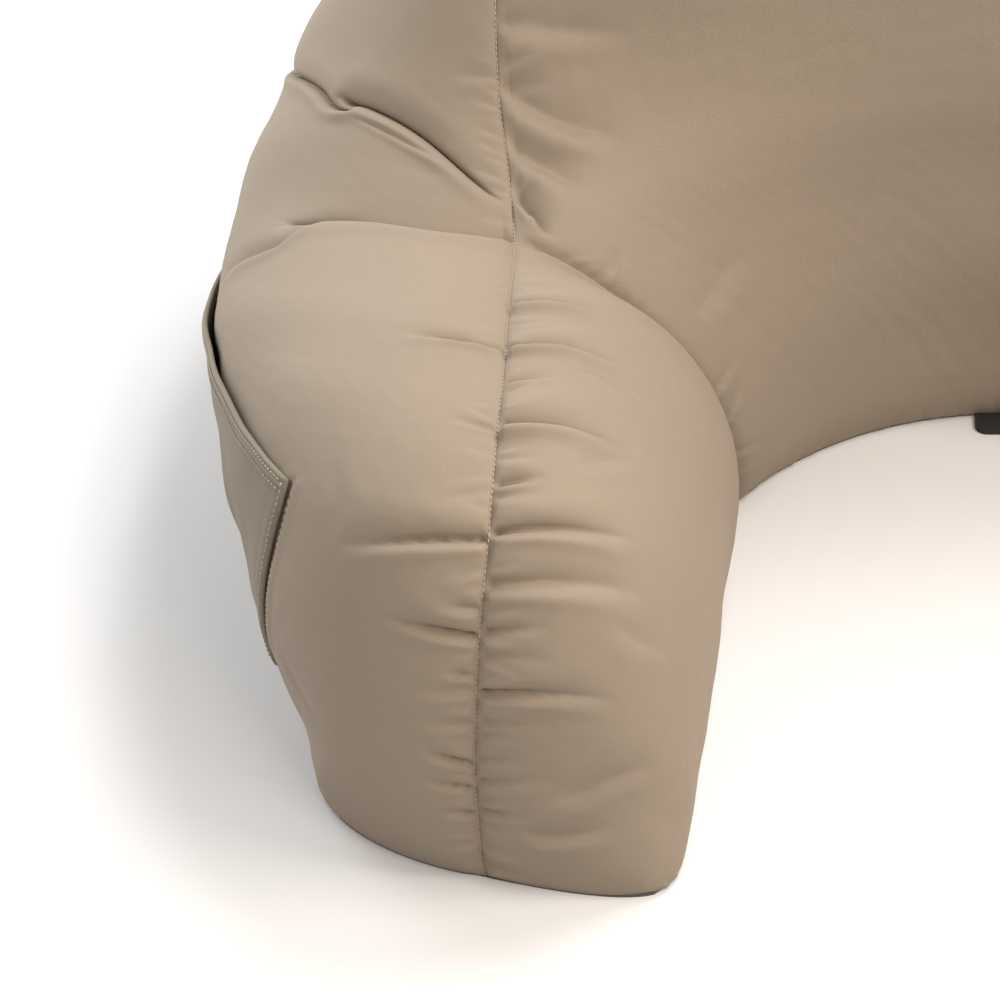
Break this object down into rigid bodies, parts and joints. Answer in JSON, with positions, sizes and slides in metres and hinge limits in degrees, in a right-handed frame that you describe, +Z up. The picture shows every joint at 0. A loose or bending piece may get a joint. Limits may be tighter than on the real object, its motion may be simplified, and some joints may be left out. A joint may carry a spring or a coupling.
{
  "type": "backrest pillow",
  "caption": "Filled backrest pillow with two arms, gathered seams, a patch pocket on the outer side of each arm and a small pull tab at the base.",
  "frame": {"origin": "middle of the whole outline, on the plane that the pillow rests on", "axes": "+Z up, +X across the arms along the longest extent, -Y towards the seat and the ends of the arms"},
  "size_m": [0.7064, 0.5424, 0.5108],
  "materials": {
    "cover": "matt brushed cotton twill, taupe",
    "pocket_cloth": "the same twill, turned and stitched",
    "base_cloth": "black non-slip cloth"
  },
  "bodies": {
    "root": {"cushion": "cover", "pocket_left": "pocket_cloth", "pocket_right": "pocket_cloth", "base_tab": "base_cloth"}
  },
  "joints": []
}
